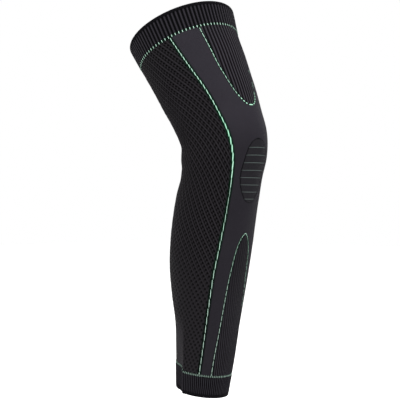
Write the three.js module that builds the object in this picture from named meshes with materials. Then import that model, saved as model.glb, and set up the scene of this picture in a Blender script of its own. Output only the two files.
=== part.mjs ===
// Compression sleeve for one leg, from mid thigh to ankle, in the shape it takes when worn.
// One knitted tube whose zones are told apart by their knit: a plain front, a honeycomb back,
// ribbed cuffs and inserts, a striped patch over the kneecap, and lines of accent yarn between.
// Millimetres. +Z runs up the leg, the kneecap faces -Y, the wearer's right side is -X.
import * as THREE from 'three';
import { mergeVertices } from 'three/addons/utils/BufferGeometryUtils.js';

// The leg's path is a straight thigh and a straight shank joined by one arc.
// Places on it are given in millimetres down the leg from the knee centre.
const THIGH_LEAN = 26;
const SHANK_LEAN = 6.5;
const KNEE_ARC_TOP = -108;
const KNEE_ARC_END = 36;

const TOP_EDGE = -222;
const CUFF_SEAM = -187;
const ANKLE_SEAM = 291;
const HEM = 323;
const RIM_DEPTH = 4.6;

// Knit thickness under the relief, and how far each zone stands out from the plain knit.
const KNIT = 1.6;
const RIB_RISE = 0.7;
const CUFF_RISE = 0.2;
const RIM_RISE = 0.8;
const HONEYCOMB_RISE = 0.4;
const LINE_RISE = 0.5;
const PATCH_RISE = 0.3;
const STRIPE_RISE = 0.7;

// Zones stop short of each other by SEAM_GAP. Accent lines down the leg are LINE_WIDTH wide,
// and the ones round the cuffs CUFF_LINE_WIDTH.
const SEAM_GAP = 0.3;
const LINE_WIDTH = 2.0;
const HALF_LINE = LINE_WIDTH / 2;
const BESIDE_LINE = HALF_LINE + SEAM_GAP;
const CUFF_LINE_WIDTH = 3.2;
const HALF_CUFF_LINE = CUFF_LINE_WIDTH / 2;
const BESIDE_CUFF_LINE = HALF_CUFF_LINE + SEAM_GAP;

const RIB_COUNT = 88;
const RIB_ANGLE = 360 / RIB_COUNT;
const RIB_SIDES = 2;
const BACKING_STEP = 4;
const RING_COLUMNS = 44;
const PANEL_COLUMNS = 4;
const LINE_COLUMNS = 1;
const PATCH_COLUMNS = 6;
const BODY_PITCH = 17;
const TIP_SOFTENING = 5;

// Sections across the leg: half width, depth in front of and behind the path,
// and the turn of the knit about the leg in degrees toward the wearer's right.
const SECTIONS = [
  { down: -222, halfWidth: 79.5, front: 84.0, rear: 80.0, turn: 3.0 },
  { down: -185, halfWidth: 74.0, front: 79.0, rear: 74.0, turn: 3.0 },
  { down: -145, halfWidth: 70.0, front: 79.0, rear: 66.0, turn: 3.0 },
  { down: -105, halfWidth: 66.0, front: 77.5, rear: 59.5, turn: 3.0 },
  { down: -70, halfWidth: 61.5, front: 78.0, rear: 52.0, turn: 3.0 },
  { down: -40, halfWidth: 58.5, front: 82.0, rear: 45.0, turn: 3.0 },
  { down: -15, halfWidth: 58.0, front: 77.0, rear: 48.5, turn: 3.0 },
  { down: 10, halfWidth: 55.5, front: 66.5, rear: 53.5, turn: 3.0 },
  { down: 35, halfWidth: 56.5, front: 60.5, rear: 61.0, turn: 1.5 },
  { down: 65, halfWidth: 57.5, front: 57.0, rear: 65.5, turn: -1.0 },
  { down: 105, halfWidth: 57.5, front: 54.0, rear: 68.0, turn: -3.0 },
  { down: 145, halfWidth: 55.5, front: 51.0, rear: 66.5, turn: -3.0 },
  { down: 185, halfWidth: 50.0, front: 49.5, rear: 59.5, turn: -3.0 },
  { down: 225, halfWidth: 44.0, front: 48.0, rear: 49.0, turn: -3.0 },
  { down: 265, halfWidth: 40.0, front: 46.0, rear: 44.5, turn: -3.0 },
  { down: 324, halfWidth: 34.5, front: 41.0, rear: 39.0, turn: -3.0 },
];

// Folds in the cloth: centre, half length down the leg, angle from the front, half spread
// and rise. Two wrinkles cross the back of the knee; a sharp edge and the flat facet behind
// it run up from the hem on the wearer's right.
const FOLDS = [
  { down: -38, length: 7, angle: 180, spread: 55, rise: -1.2 },
  { down: -21, length: 8, angle: 180, spread: 55, rise: 0.6 },
  { down: -6, length: 7, angle: 180, spread: 55, rise: -1.2 },
  { down: 324, length: 62, angle: 96, spread: 4, rise: 1.6 },
  { down: 324, length: 62, angle: 111, spread: 11, rise: -2.6 },
];

// At the ankle the cloth behind the sharp edge is drawn up the leg by the rise. This begins at
// one angle, is full at the next, then fades from a third to nothing at the last.
const SLIP = {
  down: 291, length: 20, rise: 7, begins: 95.2, full: 103.4, fades: 120, ends: 250,
};

// Angle of each zone's edge from the front of the knit, by distance down the leg.
// The right and left side lines have a column each; the other zones are alike on both sides.
const SIDE_LINE = [
  { down: -187, right: 64.5, left: 64.5 },
  { down: -140, right: 58.0, left: 60.0 },
  { down: -104, right: 51.5, left: 55.0 },
  { down: -73, right: 46.0, left: 51.5 },
  { down: -44, right: 41.5, left: 48.5 },
  { down: -14, right: 36.0, left: 45.5 },
  { down: 17, right: 33.5, left: 44.5 },
  { down: 55, right: 35.5, left: 45.5 },
  { down: 100, right: 41.0, left: 48.5 },
  { down: 160, right: 47.5, left: 52.0 },
  { down: 220, right: 55.5, left: 57.5 },
  { down: 291, right: 63.5, left: 63.5 },
];
const THIGH_INSERT = [
  { down: -187, angle: 30.8 },
  { down: -157, angle: 28.8 },
  { down: -130, angle: 27.0 },
  { down: -110, angle: 24.2 },
  { down: -95, angle: 20.8 },
  { down: -84, angle: 16.8 },
  { down: -77, angle: 12.8 },
  { down: -72.5, angle: 9.0 },
  { down: -70.5, angle: 6.0 },
  { down: -69.2, angle: 0.0 },
];
const SHIN_INSERT = [
  { down: 83.5, angle: 0.0 },
  { down: 86.2, angle: 4.0 },
  { down: 95, angle: 9.6 },
  { down: 110, angle: 14.6 },
  { down: 142, angle: 19.0 },
  { down: 177, angle: 24.0 },
  { down: 222, angle: 30.5 },
  { down: 262, angle: 36.5 },
  { down: 291, angle: 39.0 },
];
const KNEE_PATCH = [
  { down: -32, angle: 0.0 },
  { down: -31, angle: 6.0 },
  { down: -28, angle: 12.0 },
  { down: -22, angle: 17.0 },
  { down: -14, angle: 20.0 },
  { down: -6, angle: 21.8 },
  { down: 3, angle: 22.8 },
  { down: 11, angle: 22.3 },
  { down: 19, angle: 20.5 },
  { down: 27, angle: 16.8 },
  { down: 34, angle: 11.5 },
  { down: 38.5, angle: 6.0 },
  { down: 40, angle: 0.0 },
];
const STRIPE_COUNT = 8;
const STRIPE_PITCH = 8.05;
const STRIPE_FIRST = -22;
const STRIPE_HALF = 1.3;

// Rows close together near the rounded tips of the inserts.
const TIP_ROWS = [-100, -92, -84, -78, -74, -71.8, -69.2, 85.8, 87.5, 91, 97, 104];

// Columns of the back panel: shares of the way round, and the sharp edge kept as one column.
// The edge and the columns beside it are in line with columns of the rings.
const RING_PITCH = 360 / RING_COLUMNS;
const EDGE_COLUMN = 12;
const EDGE_ANGLE = EDGE_COLUMN * RING_PITCH;
const COLUMNS_TO_EDGE = 3;
const COLUMNS_PAST_EDGE = 15;

const radians = THREE.MathUtils.degToRad;
const degrees = THREE.MathUtils.radToDeg;
const clamp = THREE.MathUtils.clamp;

// Smooth value of one table column at a place down the leg, held level past the ends.
function along(table, column, down) {
  const last = table.length - 1;
  const place = clamp(down, table[0].down, table[last].down);
  const found = table.findIndex((row) => row.down >= place);
  const k = clamp(found - 1, 0, last - 1);
  const slope = (i) => {
    const before = table[Math.max(i - 1, 0)];
    const after = table[Math.min(i + 1, last)];
    return (after[column] - before[column]) / (after.down - before.down);
  };
  const span = table[k + 1].down - table[k].down;
  const t = (place - table[k].down) / span;
  const rest = 1 - t;
  const ends = table[k][column] * (1 + 2 * t) * rest * rest
    + table[k + 1][column] * (3 - 2 * t) * t * t;
  return ends + span * t * rest * (slope(k) * rest - slope(k + 1) * t);
}

// Straight-sided value of one table column, for an outline with corners at its rows.
function between(table, column, down) {
  const last = table.length - 1;
  const place = clamp(down, table[0].down, table[last].down);
  const k = clamp(table.findIndex((row) => row.down >= place), 1, last);
  const share = (place - table[k - 1].down) / (table[k].down - table[k - 1].down);
  return THREE.MathUtils.lerp(table[k - 1][column], table[k][column], share);
}

const ARC_LENGTH = KNEE_ARC_END - KNEE_ARC_TOP;
const ARC_TURN = radians(THIGH_LEAN + SHANK_LEAN);
const ARC_RADIUS = ARC_LENGTH / ARC_TURN;

function leanAt(down) {
  const share = clamp((down - KNEE_ARC_TOP) / ARC_LENGTH, 0, 1);
  return radians(THIGH_LEAN) - ARC_TURN * share;
}

// Place of the path in the plane of the bend, as distance forward and up.
function pathAt(down) {
  const onArc = clamp(down, KNEE_ARC_TOP, KNEE_ARC_END);
  const lean = leanAt(onArc);
  const centreLean = leanAt(0);
  const straight = down - onArc;
  return {
    forward: ARC_RADIUS * (Math.cos(lean) - Math.cos(centreLean)) + straight * Math.sin(lean),
    up: ARC_RADIUS * (Math.sin(lean) - Math.sin(centreLean)) - straight * Math.cos(lean),
    lean,
  };
}

function foldRise(down, angle) {
  return FOLDS.reduce((sum, fold) => {
    const away = (down - fold.down) / fold.length;
    const round = THREE.MathUtils.euclideanModulo(angle - fold.angle + 180, 360) - 180;
    const aside = round / fold.spread;
    return sum + fold.rise * Math.exp(-away * away - aside * aside);
  }, 0);
}

function slipAt(down, angle) {
  const away = (down - SLIP.down) / SLIP.length;
  const grown = clamp((angle - SLIP.begins) / (SLIP.full - SLIP.begins), 0, 1);
  const unfaded = clamp((SLIP.ends - angle) / (SLIP.ends - SLIP.fades), 0, 1);
  return SLIP.rise * grown * unfaded * Math.exp(-away * away);
}

// Point of the cloth at a knit angle from the front, a rise above the plain outer face.
function clothPoint(knitDown, knitAngle, rise) {
  const angle = knitAngle + along(SECTIONS, 'turn', knitDown);
  const down = knitDown - slipAt(knitDown, angle);
  const path = pathAt(down);
  const halfWidth = along(SECTIONS, 'halfWidth', down);
  const c = Math.cos(radians(angle));
  const s = Math.sin(radians(angle));
  const depth = along(SECTIONS, c > 0 ? 'front' : 'rear', down);
  const out = new THREE.Vector2(c / depth, s / halfWidth).normalize();
  const lift = rise + foldRise(down, angle);
  const ahead = depth * c + out.x * lift;
  const right = halfWidth * s + out.y * lift;
  const forward = path.forward + ahead * Math.cos(path.lean);
  return new THREE.Vector3(-right, -forward, path.up + ahead * Math.sin(path.lean));
}

// Triangles between a fine edge and a coarse one that has a point for every step of the fine.
function ribbon(soup, fine, coarse, step, flip) {
  const add = (a, b, c) => soup.push(...(flip ? [a, c, b] : [a, b, c]));
  for (let k = 0; k + 1 < coarse.length; k += 1) {
    for (let j = 0; j < step; j += 1) {
      const nearest = j < step / 2 ? coarse[k] : coarse[k + 1];
      add(fine[k * step + j], nearest, fine[k * step + j + 1]);
    }
    add(fine[k * step + Math.ceil(step / 2)], coarse[k], coarse[k + 1]);
  }
}

// Closed shell over rows and columns. angleAt(down, column) places a column, riseAt(down, angle)
// gives the relief. The cell after the column named gap is left open with walls at both sides.
function shell({ rows, columns, angleAt, riseAt, step = 1, gap = null, ring = false }) {
  const soup = [];
  const indices = Array.from({ length: columns + 1 }, (_, j) => j);
  const angles = rows.map((down) => indices.map((j) => angleAt(down, j)));
  const outer = rows.map((down, i) => angles[i].map((a) => clothPoint(down, a, riseAt(down, a))));
  const inner = rows.map((down, i) => angles[i]
    .filter((_, j) => j % step === 0)
    .map((a) => clothPoint(down, a, -KNIT)));
  const runs = gap === null ? [[0, columns]] : [[0, gap], [gap + 1, columns]];
  for (const [from, to] of runs) {
    const fine = outer.map((row) => row.slice(from, to + 1));
    const coarse = inner.map((row) => row.slice(from / step, to / step + 1));
    for (let i = 0; i + 1 < rows.length; i += 1) {
      ribbon(soup, fine[i], fine[i + 1], 1, true);
      ribbon(soup, coarse[i], coarse[i + 1], 1, false);
    }
    ribbon(soup, fine[0], coarse[0], step, false);
    ribbon(soup, fine[rows.length - 1], coarse[rows.length - 1], step, true);
    for (let i = 0; i + 1 < rows.length && !ring; i += 1) {
      const parted = gap === null || angles[i][gap] !== angles[i][gap + 1]
        || angles[i + 1][gap] !== angles[i + 1][gap + 1];
      const pair = [i, i + 1];
      if (from === 0 || parted) {
        ribbon(soup, pair.map((r) => fine[r][0]), pair.map((r) => coarse[r][0]), 1, true);
      }
      if (to === columns || parted) {
        ribbon(soup, pair.map((r) => fine[r].at(-1)), pair.map((r) => coarse[r].at(-1)), 1, false);
      }
    }
  }
  return soup;
}

const sleeve = new THREE.Group();
sleeve.name = 'leg_sleeve';

const WELD = 1e-4;

// Weld the triangles into one body and leave out those that closed up to nothing.
function addPiece(name, color, roughness, soup) {
  const loose = new THREE.BufferGeometry().setFromPoints(soup);
  const welded = mergeVertices(loose, WELD);
  const index = Array.from(welded.index.array);
  const kept = [];
  for (let i = 0; i < index.length; i += 3) {
    const [a, b, c] = index.slice(i, i + 3);
    if (a !== b && b !== c && c !== a) kept.push(a, b, c);
  }
  welded.setIndex(kept);
  welded.computeVertexNormals();
  const mesh = new THREE.Mesh(welded, new THREE.MeshStandardMaterial({ color, roughness }));
  mesh.name = name;
  sleeve.add(mesh);
}

const CHARCOAL = 0x322f35;
const DARK_CHARCOAL = 0x242226;
const BLACK = 0x19171b;
const MINT = 0x6fe0a4;
const CLOTH_ROUGHNESS = 0.85;
const YARN_ROUGHNESS = 0.6;

// Zone edges, moved out from the table's line by a distance in millimetres.
function widened(angle, down, distance) {
  if (angle <= 0) return 0;
  const turn = degrees(distance / along(SECTIONS, 'halfWidth', down));
  return Math.max(angle + turn * Math.min(1, angle / TIP_SOFTENING), 0);
}

const sideEdge = (side, down, distance) => widened(along(SIDE_LINE, side, down), down, distance);
const thighEdge = (down, distance) => widened(
  along(THIGH_INSERT, 'angle', down - distance), down, distance);
const shinEdge = (down, distance) => widened(
  along(SHIN_INSERT, 'angle', down + distance), down, distance);
const PATCH_TOP = KNEE_PATCH[0].down;
const PATCH_END = KNEE_PATCH.at(-1).down;
const PATCH_MIDDLE = (PATCH_TOP + PATCH_END) / 2;
const PATCH_HALF = (PATCH_END - PATCH_TOP) / 2;
const patchScaled = (down, scale) => PATCH_MIDDLE + (down - PATCH_MIDDLE) * scale;
const patchRows = (distance) => KNEE_PATCH.map(
  (row) => patchScaled(row.down, (PATCH_HALF + distance) / PATCH_HALF));
const patchEdge = (down, distance) => widened(
  between(KNEE_PATCH, 'angle', patchScaled(down, PATCH_HALF / (PATCH_HALF + distance))),
  down, distance);

const THIGH_TIP = THIGH_INSERT.at(-1).down;
const SHIN_TIP = SHIN_INSERT[0].down;
const BODY_TOP = CUFF_SEAM + BESIDE_CUFF_LINE;
const BODY_END = ANKLE_SEAM - BESIDE_CUFF_LINE;
const bodySteps = Math.round((BODY_END - BODY_TOP) / BODY_PITCH);
const BODY_ROWS = Array.from({ length: bodySteps + 1 },
  (_, i) => BODY_TOP + (BODY_END - BODY_TOP) * i / bodySteps);
const SHARED_ROWS = [...BODY_ROWS, ...TIP_ROWS, THIGH_TIP - HALF_LINE, SHIN_TIP + HALF_LINE];
const MIN_ROW = 0.9;

// Rows of one zone: its own ends and marks, and the shared rows that lie clear of them.
function rowsBetween(marks, shared) {
  const ends = [Math.min(...marks), Math.max(...marks)];
  const clear = (row) => marks.every((mark) => Math.abs(mark - row) > MIN_ROW);
  const inside = shared.filter((row) => row > ends[0] && row < ends[1] && clear(row));
  return [...marks, ...inside].sort((a, b) => a - b);
}

const fullTurn = (columns) => (down, j) => 360 * (j % columns) / columns;
const flat = (rise) => () => rise;
const ribs = (base) => (down, angle) => base
  + RIB_RISE * (1 + Math.cos(radians(angle * RIB_COUNT))) / 2;

function addRing(name, color, roughness, rows, columns, riseAt, step) {
  const angleAt = fullTurn(columns);
  addPiece(name, color, roughness, shell({ rows, columns, angleAt, riseAt, step, ring: true }));
}

// Two bands side by side about the front, from an inner edge to the outer edge of each side.
function pairedBands(rows, perSide, innerEdge, outerEdge, rise) {
  const angleAt = (down, j) => {
    const onLeft = j <= perSide;
    const share = onLeft ? 1 - j / perSide : (j - perSide - 1) / perSide;
    const inside = innerEdge(down);
    const angle = inside + (outerEdge(down, onLeft ? 'left' : 'right') - inside) * share;
    return onLeft ? 0 - angle : 0 + angle;
  };
  const columns = 2 * perSide + 1;
  return shell({ rows, columns, angleAt, riseAt: flat(rise), gap: perSide });
}

// Ribbed insert whose ribs run straight and end where its edge cuts them off.
function ribInsert(rows, widest, edge) {
  const reach = Math.ceil(widest / RIB_ANGLE / RIB_SIDES) * RIB_SIDES;
  const columns = 2 * reach * RIB_SIDES;
  const angleAt = (down, j) => {
    const limit = edge(down);
    return clamp((j / RIB_SIDES - reach) * RIB_ANGLE, -limit, limit);
  };
  return shell({ rows, columns, angleAt, riseAt: ribs(0), step: BACKING_STEP });
}

const RIB_COLUMNS = RIB_COUNT * RIB_SIDES;
const rimEnd = TOP_EDGE + RIM_DEPTH;
const rimStart = HEM - RIM_DEPTH;

addRing('thigh_rim', BLACK, CLOTH_ROUGHNESS, [TOP_EDGE, rimEnd], RING_COLUMNS, flat(RIM_RISE));
addRing('thigh_cuff', DARK_CHARCOAL, CLOTH_ROUGHNESS,
  [rimEnd + SEAM_GAP, CUFF_SEAM - BESIDE_CUFF_LINE], RIB_COLUMNS, ribs(CUFF_RISE), BACKING_STEP);
addRing('thigh_cuff_line', MINT, YARN_ROUGHNESS,
  [CUFF_SEAM - HALF_CUFF_LINE, CUFF_SEAM + HALF_CUFF_LINE], RING_COLUMNS, flat(LINE_RISE));

addPiece('thigh_rib_panel', CHARCOAL, CLOTH_ROUGHNESS, ribInsert(
  rowsBetween([BODY_TOP, THIGH_TIP - BESIDE_LINE], SHARED_ROWS),
  THIGH_INSERT[0].angle, (down) => thighEdge(down, -BESIDE_LINE)));
addPiece('thigh_panel_line', MINT, YARN_ROUGHNESS, pairedBands(
  rowsBetween([BODY_TOP, THIGH_TIP - HALF_LINE, THIGH_TIP + HALF_LINE], SHARED_ROWS),
  LINE_COLUMNS, (down) => thighEdge(down, -HALF_LINE),
  (down) => thighEdge(down, HALF_LINE), LINE_RISE));

const frontOpening = (down) => Math.max(thighEdge(down, BESIDE_LINE),
  patchEdge(down, SEAM_GAP), shinEdge(down, BESIDE_LINE));
addPiece('front_panel', CHARCOAL, CLOTH_ROUGHNESS, pairedBands(
  rowsBetween([BODY_TOP, THIGH_TIP + BESIDE_LINE, ...patchRows(SEAM_GAP),
    SHIN_TIP - BESIDE_LINE, BODY_END], SHARED_ROWS),
  PANEL_COLUMNS, frontOpening, (down, side) => sideEdge(side, down, -BESIDE_LINE), 0));

const stripeMarks = Array.from({ length: STRIPE_COUNT }, (_, i) => STRIPE_FIRST + i * STRIPE_PITCH)
  .flatMap((middle) => [-2, -1, 1, 2].map((edge) => middle + edge * STRIPE_HALF));
const stripeRise = (down) => {
  const nearest = Math.round((down - STRIPE_FIRST) / STRIPE_PITCH);
  const middle = STRIPE_FIRST + clamp(nearest, 0, STRIPE_COUNT - 1) * STRIPE_PITCH;
  return STRIPE_RISE * clamp(2 - Math.abs(down - middle) / STRIPE_HALF, 0, 1);
};
addPiece('knee_patch', DARK_CHARCOAL, CLOTH_ROUGHNESS, shell({
  rows: rowsBetween(patchRows(0), stripeMarks),
  columns: PATCH_COLUMNS,
  angleAt: (down, j) => patchEdge(down, 0) * (2 * j / PATCH_COLUMNS - 1),
  riseAt: (down) => PATCH_RISE + stripeRise(down),
}));

addPiece('shin_rib_panel', CHARCOAL, CLOTH_ROUGHNESS, ribInsert(
  rowsBetween([SHIN_TIP + BESIDE_LINE, BODY_END], SHARED_ROWS),
  SHIN_INSERT.at(-1).angle, (down) => shinEdge(down, -BESIDE_LINE)));
addPiece('shin_panel_line', MINT, YARN_ROUGHNESS, pairedBands(
  rowsBetween([SHIN_TIP - HALF_LINE, SHIN_TIP + HALF_LINE, BODY_END], SHARED_ROWS),
  LINE_COLUMNS, (down) => shinEdge(down, -HALF_LINE),
  (down) => shinEdge(down, HALF_LINE), LINE_RISE));

for (const [side, sign] of [['right', 1], ['left', -1]]) {
  addPiece(`side_line_${side}`, MINT, YARN_ROUGHNESS, shell({
    rows: BODY_ROWS,
    columns: LINE_COLUMNS,
    angleAt: (down, j) => {
      const distance = sign * (2 * j / LINE_COLUMNS - 1) * HALF_LINE;
      return sign * sideEdge(side, down, distance);
    },
    riseAt: flat(LINE_RISE),
  }));
}

// Back panel, from the right side line past the sharp edge and round to the left side line.
const honeycombColumns = COLUMNS_TO_EDGE + COLUMNS_PAST_EDGE + 2;
addPiece('honeycomb_panel', DARK_CHARCOAL, CLOTH_ROUGHNESS, shell({
  rows: BODY_ROWS,
  columns: honeycombColumns,
  angleAt: (down, j) => {
    const start = sideEdge('right', down, BESIDE_LINE);
    const end = 360 - sideEdge('left', down, BESIDE_LINE);
    const before = EDGE_ANGLE - RING_PITCH;
    const after = EDGE_ANGLE + RING_PITCH;
    if (j <= COLUMNS_TO_EDGE) return start + (before - start) * j / COLUMNS_TO_EDGE;
    if (j === COLUMNS_TO_EDGE + 1) return EDGE_ANGLE;
    return after + (end - after) * (j - COLUMNS_TO_EDGE - 2) / COLUMNS_PAST_EDGE;
  },
  riseAt: flat(HONEYCOMB_RISE),
}));

addRing('ankle_cuff_line', MINT, YARN_ROUGHNESS,
  [ANKLE_SEAM - HALF_CUFF_LINE, ANKLE_SEAM + HALF_CUFF_LINE], RING_COLUMNS, flat(LINE_RISE));
addRing('ankle_cuff', DARK_CHARCOAL, CLOTH_ROUGHNESS,
  [ANKLE_SEAM + BESIDE_CUFF_LINE, rimStart - SEAM_GAP], RIB_COLUMNS, ribs(CUFF_RISE), BACKING_STEP);
addRing('ankle_rim', BLACK, CLOTH_ROUGHNESS, [rimStart, HEM], RING_COLUMNS, flat(RIM_RISE));

export default sleeve;
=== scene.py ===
"""Looks of the leg compression sleeve: knit zones with their ribs and honeycomb, and accent yarn.

Lengths are millimetres and angles degrees until a mesh is made. A place on the cloth is given by
how far down the leg it lies from the knee centre, and by its angle round the knit from the front
toward the wearer's right.
"""
import math

import bpy
import numpy as np
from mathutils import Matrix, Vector


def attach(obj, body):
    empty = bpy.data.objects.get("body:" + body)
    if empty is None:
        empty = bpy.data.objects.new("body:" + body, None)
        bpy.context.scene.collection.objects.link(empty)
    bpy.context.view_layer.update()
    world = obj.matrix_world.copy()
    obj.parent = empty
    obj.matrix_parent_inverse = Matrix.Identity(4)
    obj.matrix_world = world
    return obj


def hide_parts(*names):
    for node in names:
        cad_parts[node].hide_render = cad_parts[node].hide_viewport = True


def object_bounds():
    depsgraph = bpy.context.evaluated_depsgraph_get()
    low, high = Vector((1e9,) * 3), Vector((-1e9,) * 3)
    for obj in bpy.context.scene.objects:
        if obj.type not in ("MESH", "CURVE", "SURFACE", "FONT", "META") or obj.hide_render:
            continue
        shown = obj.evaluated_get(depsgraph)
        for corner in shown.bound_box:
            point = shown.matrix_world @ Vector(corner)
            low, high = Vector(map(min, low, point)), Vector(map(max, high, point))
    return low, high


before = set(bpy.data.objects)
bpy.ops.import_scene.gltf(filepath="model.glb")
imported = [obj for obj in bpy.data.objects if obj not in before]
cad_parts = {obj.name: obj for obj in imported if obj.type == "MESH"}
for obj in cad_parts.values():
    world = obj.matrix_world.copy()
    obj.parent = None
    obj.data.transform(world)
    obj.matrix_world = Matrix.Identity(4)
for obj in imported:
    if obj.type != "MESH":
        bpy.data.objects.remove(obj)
CAD_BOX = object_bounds()
MM = 0.001

# The leg's path: a straight thigh and a straight shank joined by one arc at the knee.
THIGH_LEAN = 26.0
SHANK_LEAN = 6.5
KNEE_ARC_TOP = -108.0
KNEE_ARC_END = 36.0

# Marks down the leg.
TOP_EDGE = -222.0
CUFF_SEAM = -187.0
ANKLE_SEAM = 291.0
HEM = 323.0
RIM_DEPTH = 4.6

# Sections: down the leg, half width, depth in front, depth behind, turn of the knit.
DOWN, HALF_WIDTH, FRONT, REAR, TURN = range(5)
SECTIONS = np.array((
    (-222, 79.5, 84.0, 80.0, 3.0),
    (-185, 74.0, 79.0, 74.0, 3.0),
    (-145, 70.0, 79.0, 66.0, 3.0),
    (-105, 66.0, 77.5, 59.5, 3.0),
    (-70, 61.5, 78.0, 52.0, 3.0),
    (-40, 58.5, 82.0, 45.0, 3.0),
    (-15, 58.0, 77.0, 48.5, 3.0),
    (10, 55.5, 66.5, 53.5, 3.0),
    (35, 56.5, 60.5, 61.0, 1.5),
    (65, 57.5, 57.0, 65.5, -1.0),
    (105, 57.5, 54.0, 68.0, -3.0),
    (145, 55.5, 51.0, 66.5, -3.0),
    (185, 50.0, 49.5, 59.5, -3.0),
    (225, 44.0, 48.0, 49.0, -3.0),
    (265, 40.0, 46.0, 44.5, -3.0),
    (324, 34.5, 41.0, 39.0, -3.0),
))

# Folds: down the leg, half length, angle round the leg, half spread, rise.
FOLDS = (
    (-38, 7, 180, 55, -1.2),
    (-21, 8, 180, 55, 0.6),
    (-6, 7, 180, 55, -1.2),
    (324, 62, 96, 4, 1.6),
    (324, 62, 111, 11, -2.6),
)

# At the ankle the cloth behind the sharp edge is drawn up the leg, most at one place down it. Each
# draw: angles at which it begins, is full and ends, rise, and the lengths over which it fades above
# and below.
SLIP_DOWN = ANKLE_SEAM
SLIPS = (
    (95.2, 103.4, 250, 6.2, 20, 20),
    (100.0, 138.0, 250, 4.6, 20, 60),
)

# Side lines from the front of the knit: down the leg, angle to the right line and to the left.
RIGHT, LEFT = 1, 2
SIDE_LINE = np.array((
    (-187, 64.5, 64.5), (-140, 58.0, 60.0), (-104, 51.5, 55.0), (-73, 46.0, 51.5),
    (-44, 41.5, 48.5), (-14, 36.0, 45.5), (17, 33.5, 44.5), (55, 35.5, 45.5),
    (100, 41.0, 48.5), (160, 47.5, 52.0), (220, 55.5, 57.5), (291, 63.5, 63.5),
))

# Half angle of each zone on the front: down the leg, angle.
ANGLE = 1
THIGH_INSERT = np.array((
    (-187, 30.8), (-157, 28.8), (-130, 27.0), (-110, 24.2), (-95, 20.8), (-84, 16.8),
    (-77, 12.8), (-72.5, 9.0), (-70.5, 6.0), (-69.2, 0.0),
))
SHIN_INSERT = np.array((
    (83.5, 0.0), (86.2, 4.0), (95, 9.6), (110, 14.6), (142, 19.0), (177, 24.0),
    (222, 30.5), (262, 36.5), (291, 39.0),
))
KNEE_PATCH = np.array((
    (-32, 0.0), (-31, 6.0), (-28, 12.0), (-22, 17.0), (-14, 20.0), (-6, 21.8), (3, 22.8),
    (11, 22.3), (19, 20.5), (27, 16.8), (34, 11.5), (38.5, 6.0), (40, 0.0),
))

# Stripes across the knee patch, which stop an angle short of its edge.
STRIPE_COUNT = 8
STRIPE_PITCH = 8.05
STRIPE_FIRST = -22.0
STRIPE_WIDTH = 0.8
STRIPE_INSET = 0.6

# Knit gauge: needles and ribs round the leg, and the height of one course of loops.
NEEDLES = 352
COURSE = 0.85
RIBS = 88
RIB_ANGLE = 360 / RIBS

# The inserts' ribs flatten where the knit is pulled tight: down the leg, share of a full rib and
# shade. The shade darkens the shin insert, most near its tip, and on the shank it is painted shade
# where less of the top light falls.
RIB_SHARE, RIB_SHADE = 1, 2
RIBBING = np.array((
    (-187, 1.0, 0.97), (-69, 1.0, 0.97), (83, 0.4, 0.5), (150, 0.4, 0.62), (200, 0.45, 0.74),
    (291, 0.9, 0.8),
))

# Honeycomb: down the leg, cells in a full turn at that stretch, drift of the ridges toward the
# front in degrees per millimetre, height of a row of cells, shade, and how far the cells are ridged
# rather than plain leaning pits. The cells spread from one angle.
CELLS, DRIFT, ROW, SHADE, RIDGED = 1, 2, 3, 4, 5
HONEYCOMB = np.array((
    (-187, 51, 0.41, 4.9, 0.97, 1.0), (-130, 52.5, 0.42, 4.9, 0.97, 1.0),
    (-95, 57, 0.47, 5.0, 1.0, 1.0), (-45, 60.5, 0.48, 5.1, 0.99, 1.0),
    (-15, 58, 0.45, 5.0, 0.96, 1.0), (15, 49.5, 0.46, 4.8, 0.94, 1.0),
    (60, 42.5, 0.46, 4.6, 0.96, 1.0), (100, 41, 0.60, 4.6, 0.98, 0.9),
    (125, 41.3, 0.62, 4.6, 1.0, 0.7), (150, 41.5, 0.63, 4.6, 1.02, 0.4),
    (175, 41.5, 0.64, 4.6, 1.06, 0.25), (291, 41.5, 0.65, 4.6, 1.1, 0.1),
))
CELL_MIDDLE = 78.0

# The plain front is painted darker over the knee and shank: painted shade where less of the top
# light falls on the forward-leaning leg. Down the leg, share of the full shade.
PAINTED_SHADE_SHARE = 1
PAINTED_SHADE_DOWN_LEG = np.array(((-187, 1.0), (-60, 1.0), (-46, 0.93), (-20, 0.7), (60, 0.69), (291, 0.7)))

# Cloth thickness, and the relief of each zone above the plain knit.
KNIT = 1.6
RIB_RISE = 0.75
CUFF_RISE = 0.15
PIT_DEPTH = 1.0
RIDGE_RISE = 0.45
BUMP_RISE = 0.2
PATCH_RISE = 0.25
GROOVE_DEPTH = 0.9
LINE_SINK = 0.6

# Stitches of accent yarn: down the leg, length, gap to the next, width, level of the middle.
LENGTH, GAP, WIDTH, LEVEL = 1, 2, 3, 4
SIDE_STITCHES = np.array((
    (-187, 6.5, 0.2, 1.25, -0.1), (-70, 7.5, 0.0, 1.4, -0.1), (-35, 10.0, -1.0, 2.05, 0.0),
    (-5, 11.0, -1.2, 2.05, 0.0), (20, 12.0, -1.2, 0.55, -0.1), (80, 14.0, -0.4, 1.0, -0.1),
    (160, 14.0, 0.3, 1.0, -0.1), (230, 11.0, 0.5, 0.85, -0.1), (291, 11.0, 0.5, 0.85, -0.1),
))
THIGH_STITCHES = np.array((
    (-187, 8.5, 0.6, 1.15, -0.6), (-120, 7.0, 0.6, 1.0, -0.6), (-100, 5.0, 0.6, 0.9, -0.7),
    (-84, 4.0, 0.7, 0.9, -0.7), (-78.5, 2.6, 1.7, 1.7, -0.1), (-69, 2.6, 1.7, 1.7, 0.1),
))
SHIN_STITCHES = np.array((
    (83, 2.2, 0.6, 1.2, 0.1), (88, 4.0, 0.5, 0.65, -0.3), (95, 6.0, 0.2, 0.5, -0.4),
    (110, 8.0, 0.4, 0.6, -0.4), (150, 8.0, 0.7, 0.7, -0.6), (291, 9.0, 1.0, 0.75, -0.5),
))
YARN_RISE = 0.35
YARN_SINK = 0.5

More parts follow.
